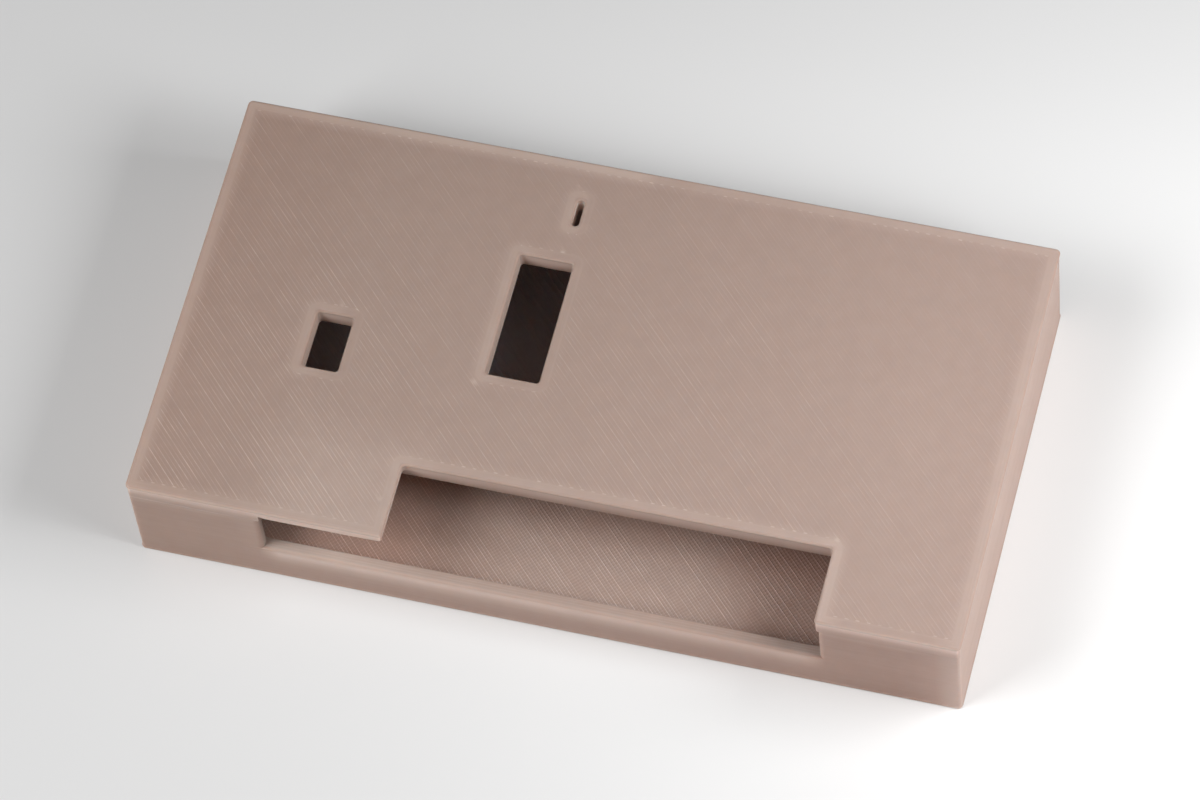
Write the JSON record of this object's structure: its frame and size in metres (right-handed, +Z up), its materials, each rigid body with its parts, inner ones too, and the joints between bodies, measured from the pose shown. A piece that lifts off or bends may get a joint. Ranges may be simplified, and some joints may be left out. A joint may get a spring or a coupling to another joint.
{
  "type": "electronics enclosure",
  "caption": "Shallow rectangular printed case for a circuit board: an open tray with a long front slot, under a flat lid with a front notch, windows and a narrow light slot.",
  "frame": {"origin": "middle of the underside, on the surface that the case stands on", "axes": "+X to the right along the width, +Y from the slotted front to the back, +Z up through the lid"},
  "size_m": [0.0994, 0.0538, 0.0154],
  "materials": {
    "printed_plastic": "satin, printed in fine lines"
  },
  "bodies": {
    "root": {"tray": "printed_plastic", "lid": "printed_plastic"}
  },
  "joints": []
}
